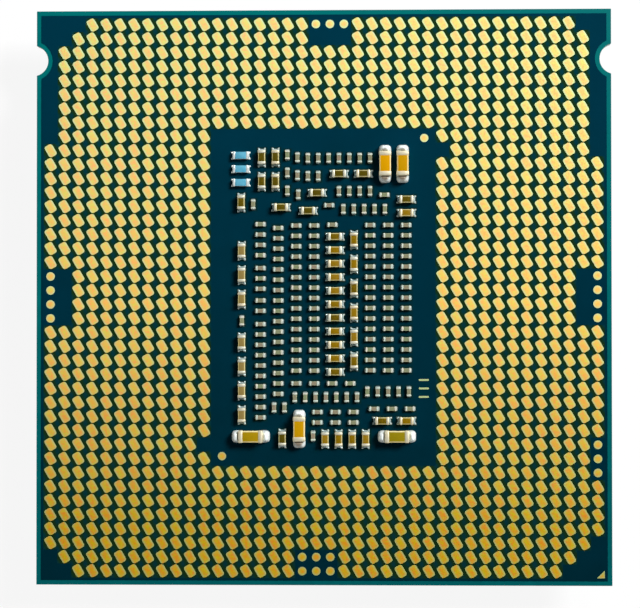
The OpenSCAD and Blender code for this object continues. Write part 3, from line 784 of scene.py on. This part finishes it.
resistor_size = chip_size("resistor_1_body")
resistor_whole = [s + 2 * band_wall for s in resistor_size]
resistor_block = block_shape("resistor_block", *resistor_size, resistor_edge, 1)
resistor_caps = band_shape("resistor_caps", *resistor_whole, resistor_band, cap_edge, 2)
resistor_joints = joint_shape("resistor_joints", *resistor_whole[:2], *fillet_steps,
                              fillet(resistor_reach, resistor_climb, resistor_pull))

coat_low, coat_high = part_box("resistor_1_glaze")
half_coat, half_width = resistor_whole[0] / 2 - resistor_band - coat_gap, (coat_high.y - coat_low.y) / 2
bm = bmesh.new()
add_block(bm, (-half_coat, -half_width, coat_low.z - land_face),
          (half_coat, half_width, coat_high.z - land_face), resistor_edge, 2)
resistor_coat = end_shape(bm, "resistor_coat")

for k in (1, 2, 3):
    node = "resistor_%d" % k
    places = chip_places(node + "_body")
    for shape, finish, part, slot in ((resistor_block, alumina, "_body", "alumina"),
                                      (resistor_coat, blue_glass, "_glaze", "blue_glaze"),
                                      (resistor_caps, solder, "_terminals", "tin"),
                                      (resistor_joints, solder, "_solder", "solder")):
        piece = set_copies(shape, places, node + part + "_" + slot, finish, k)
        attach(piece, "root")
        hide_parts(node + part)

# Medium capacitors: blocks of many thin ceramic and metal layers, fired to an olive or amber brown,
# dipped at both ends and tinned. Solder climbs their ends and runs out to the corners of its pads.
medium_band, medium_reach, medium_climb = 0.19 * MM, 0.185 * MM, 0.35 * MM
medium_edge, medium_trim = 0.05 * MM, 0.045 * MM
medium_pull = 0.4
olive_brown, amber_brown, tan_brown = "51460a", "8a6a06", "887440"
medium_edge_sheen, medium_margin = "d2c88e", 0.07 * MM

medium_places = chip_places("medium_capacitor_bodies")
length, width, height = chip_size("medium_capacitor_bodies")
medium_size = length - 2 * medium_trim, width, height
medium_whole = [s + 2 * band_wall for s in medium_size]
brown = fired_ceramic("brown_layered_ceramic", [(0.1, olive_brown), (0.45, amber_brown), (0.85, tan_brown)],
                      medium_edge_sheen, width / 2, medium_margin)
medium_block = block_shape("medium_block", *medium_size, medium_edge, 2)
medium_caps = band_shape("medium_caps", *medium_whole, medium_band, medium_edge, 2)
medium_joints = joint_shape("medium_joints", *medium_whole[:2], *fillet_steps,
                            fillet(medium_reach, medium_climb, medium_pull))

# The blocks come from several batches: amber in the pair on the right, amber and olive along the lower
# edge, tan in the left column, olive in the upper rows and mixed elsewhere.
left_column, left_top = -5.2 * MM, 4 * MM
right_pair, right_pair_top = 4 * MM, 6 * MM
upper_rows, lower_row, lower_amber = 4.5 * MM, -8.6 * MM, -1 * MM
draws = random.Random(22)
medium_tints = []
for spot in medium_places:
    x, y = spot.translation.x, spot.translation.y
    if x > right_pair and upper_rows < y < right_pair_top:
        low, high = 0.4, 0.5
    elif y < lower_row:
        low, high = (0.34, 0.5) if x > lower_amber else (0.0, 0.1)
    elif x < left_column and y < left_top:
        low, high = 0.85, 1.0
    else:
        low, high = (0.0, 0.16) if y > upper_rows else (0.14, 0.52)
    medium_tints.append(draws.uniform(low, high))

for shape, finish, tints, name, node, slot in (
        (medium_block, brown, medium_tints, "medium_ceramic_blocks", "medium_capacitor_bodies",
         "medium_ceramic"),
        (medium_caps, tin, None, "medium_tin_bands", "medium_capacitor_terminals", "tin"),
        (medium_joints, dull_solder, None, "medium_solder_fillets", "medium_capacitor_solder", "solder")):
    piece = set_copies(shape, medium_places, name, finish, 21, tints)
    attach(piece, "root")
    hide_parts(node)

# Small capacitors: the same kind of chip in the smallest size, 168 of them, in rows across the window.
# Their ceramic is a pale grey tan between two short bands of tin.
small_band, small_reach, small_climb = 0.17 * MM, 0.07 * MM, 0.22 * MM
small_overlap = 0.04 * MM
small_edge, small_cap_edge = 0.015 * MM, 0.03 * MM
small_taper, small_fall, small_steps = 0.35, 0.5, (2, 4)
grey_tan, green_tan = "8a7c6a", "7a8462"
small_edge_sheen, small_margin = "a0a484", 0.04 * MM
pale_tin, green_tin = "dedccc", "ccdcd0"


def small_fillet(out, across):
    """The profile of a plain fillet that falls to its end and its sides and grows narrower."""
    share = 1 - small_taper * out ** 2
    return small_reach * out, share, small_climb * (1 - out) * (1 - small_fall * across)


small_places = chip_places("small_capacitor_bodies")
length, width, height = chip_size("small_capacitor_bodies")
half_block, half_length = length / 2 + small_overlap, length / 2 + small_band
half_width, whole_height = width / 2 + band_wall, height + 2 * band_wall
small_tin = tin_plate("cool_matt_tin_plate", pale_tin, green_tin)
tan = fired_ceramic("tan_layered_ceramic", [(0.0, grey_tan), (1.0, green_tan)], small_edge_sheen,
                    width / 2, small_margin)
small_block = block_shape("small_block", 2 * half_block, width, height, small_edge, 1)
bm = bmesh.new()
add_block(bm, (half_block, -half_width, 0), (half_length, half_width, whole_height), small_cap_edge, 1)
both_ends(bm)
small_caps = end_shape(bm, "small_caps")
small_joints = joint_shape("small_joints", 2 * half_length, 2 * half_width, *small_steps, small_fillet)

for shape, finish, name, node, slot in (
        (small_block, tan, "small_ceramic_blocks", "small_capacitor_bodies", "small_ceramic"),
        (small_caps, small_tin, "small_tin_bands", "small_capacitor_terminals", "tin"),
        (small_joints, dull_solder, "small_solder_fillets", "small_capacitor_solder", "solder")):
    piece = set_copies(shape, small_places, name, finish, 31)
    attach(piece, "root")
    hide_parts(node)

# Shade patches: round the pads of the chips the lacquer is painted darker and greener, as painted shade
# between and beside the chips. Each patch fades into the mask around it.
patch_height, patch_fade = 0.002 * MM, 0.13 * MM
medium_patch, small_patch = (1.5 * MM, 0.84 * MM), (0.98 * MM, 0.66 * MM)
painted_shade_tone = "082624"

# Lacquer with painted shade round the chips: as the mask is, and darker green where the patch's shade
# attribute nears 1.
shaded_lacquer, tree, place = start_material("solder_mask_with_painted_shade_round_the_pads")
bare = add_node(tree, "ShaderNodeAttribute", {"attribute_name": "bare"})
faded = add_node(tree, "ShaderNodeMix", {"data_type": "RGBA", 7: linear(painted_shade_tone)},
                 {0: bare.outputs["Fac"], 6: mask_tone(tree, place)})
end_material(tree, mask_gloss, {"Base Color": faded.outputs[2]})

for name, (length, width), places in (("mask_painted_shade_medium_patches", medium_patch, medium_places),
                                      ("mask_painted_shade_small_patches", small_patch, small_places)):
    bm = bmesh.new()
    bare = bm.verts.layers.float.new("bare")
    bmesh.ops.create_grid(bm, x_segments=1, y_segments=1, size=0.5)
    bmesh.ops.scale(bm, vec=(length, width, 1), verts=bm.verts)
    tops = thicken(bm, patch_height)
    bmesh.ops.inset_region(bm, faces=tops, thickness=patch_fade, use_even_offset=True)
    for v in {v for f in tops for v in f.verts}:
        v[bare] = 1.0
    piece = set_copies(end_shape(bm, name + "_shape"), places, name, shaded_lacquer, 7)
    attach(piece, "root")

# Floor, light and camera: a white table in a room with bright walls and a dark ceiling, a far lamp and
# a weak near one to the upper right, seen from straight above through a long lens. The table can be
# looked through from below, where the lid is.
floor_size, floor_tone, floor_glow = 8.0, "f2f2f2", 0.9
wall_tone, ceiling_tone, zenith_tone = "ffffff", "404040", "303030"
wall_low, wall_high, wall_light, wall_shade = 0.1, 0.35, 2.0, 0.12
window_side, window_start, window_end, window_light = (0.75, 0.55, 0), -0.5, 0.7, 0.7
lamps = (("far_lamp", "SUN", (0.92, 0.62, 1.0), math.radians(18), 3.95),
         ("near_lamp", "AREA", (0.04, 0.05, 0.075), 12 * MM, 0.016))
camera_place, camera_turn = (4.131, -2.561, 149.79), (0.83, 1.706, -0.039)
camera_lens, camera_sensor, camera_near, camera_far = 125.642, 36, 0.01, 10

# White paper: matt, and plain white to the eye but for the shadow that lies on it.
paper, tree, place = start_material("white_paper")
rays = add_node(tree, "ShaderNodeLightPath")
seen = add_node(tree, "ShaderNodeMath", {"operation": "MAXIMUM"},
                {0: rays.outputs["Is Camera Ray"], 1: rays.outputs["Is Glossy Ray"]})
shown = add_node(tree, "ShaderNodeMath", {"operation": "MAXIMUM"},
                 {0: seen.outputs["Value"], 1: rays.outputs["Is Transmission Ray"]})
share = add_node(tree, "ShaderNodeMath", {"operation": "MULTIPLY", 1: floor_glow},
                 {0: shown.outputs["Value"]})
matt = add_node(tree, "ShaderNodeBsdfDiffuse", {"Color": linear(floor_tone)})
glow = add_node(tree, "ShaderNodeEmission", {"Strength": 1.0})
white = add_node(tree, "ShaderNodeMixShader", {},
                 {0: share.outputs["Value"], 1: matt.outputs["BSDF"], 2: glow.outputs["Emission"]})
side = add_node(tree, "ShaderNodeNewGeometry")
clear = add_node(tree, "ShaderNodeBsdfTransparent")
sheet = add_node(tree, "ShaderNodeMixShader", {},
                 {0: side.outputs["Backfacing"], 1: white.outputs["Shader"], 2: clear.outputs["BSDF"]})
add_node(tree, "ShaderNodeOutputMaterial", {}, {"Surface": sheet.outputs["Shader"]})

bm = bmesh.new()
bmesh.ops.create_grid(bm, x_segments=1, y_segments=1, size=floor_size / 2)
floor = add_piece(bm, "floor", paper)

world = bpy.data.worlds.new("studio")
bpy.context.scene.world = world
world.use_nodes = True
tree = world.node_tree
tree.nodes.clear()
direction = add_node(tree, "ShaderNodeTexCoord").outputs["Generated"]
upward = add_node(tree, "ShaderNodeSeparateXYZ", {}, {"Vector": direction})
sky = add_node(tree, "ShaderNodeValToRGB",
               {"stops": [(0.0, wall_tone), (0.5, wall_tone), (0.78, ceiling_tone), (1.0, zenith_tone)]},
               {"Fac": upward.outputs["Z"]})
toward = add_node(tree, "ShaderNodeVectorMath", {"operation": "DOT_PRODUCT", 1: window_side},
                  {0: direction})
low_wall = add_node(tree, "ShaderNodeMapRange",
                    {"From Min": wall_low, "From Max": wall_high,
                     "To Min": wall_light, "To Max": wall_shade},
                    {"Value": upward.outputs["Z"]})
window = add_node(tree, "ShaderNodeMapRange",
                  {"From Min": window_start, "From Max": window_end, "To Max": window_light},
                  {"Value": toward.outputs["Value"], "To Min": low_wall.outputs["Result"]})
light = add_node(tree, "ShaderNodeBackground", {},
                 {"Color": sky.outputs["Color"], "Strength": window.outputs["Result"]})
add_node(tree, "ShaderNodeOutputWorld", {}, {"Surface": light.outputs["Background"]})

for name, kind, at, size, power in lamps:
    lamp = bpy.data.lights.new(name, kind)
    setattr(lamp, "angle" if kind == "SUN" else "size", size)
    lamp.energy = power
    lamp_object = bpy.data.objects.new(name, lamp)
    lamp_object.location = at
    lamp_object.rotation_euler = Vector(at).to_track_quat("Z", "Y").to_euler()
    bpy.context.scene.collection.objects.link(lamp_object)

camera = bpy.data.cameras.new("camera")
camera.sensor_fit = "HORIZONTAL"
camera.sensor_width = camera_sensor
camera.lens = camera_lens
camera.clip_start, camera.clip_end = camera_near, camera_far
camera_object = bpy.data.objects.new("camera", camera)
camera_object.location = Vector(camera_place) * MM
camera_object.rotation_euler = [math.radians(a) for a in camera_turn]
bpy.context.scene.collection.objects.link(camera_object)
bpy.context.scene.camera = camera_object
bpy.context.scene.view_settings.view_transform = "Standard"
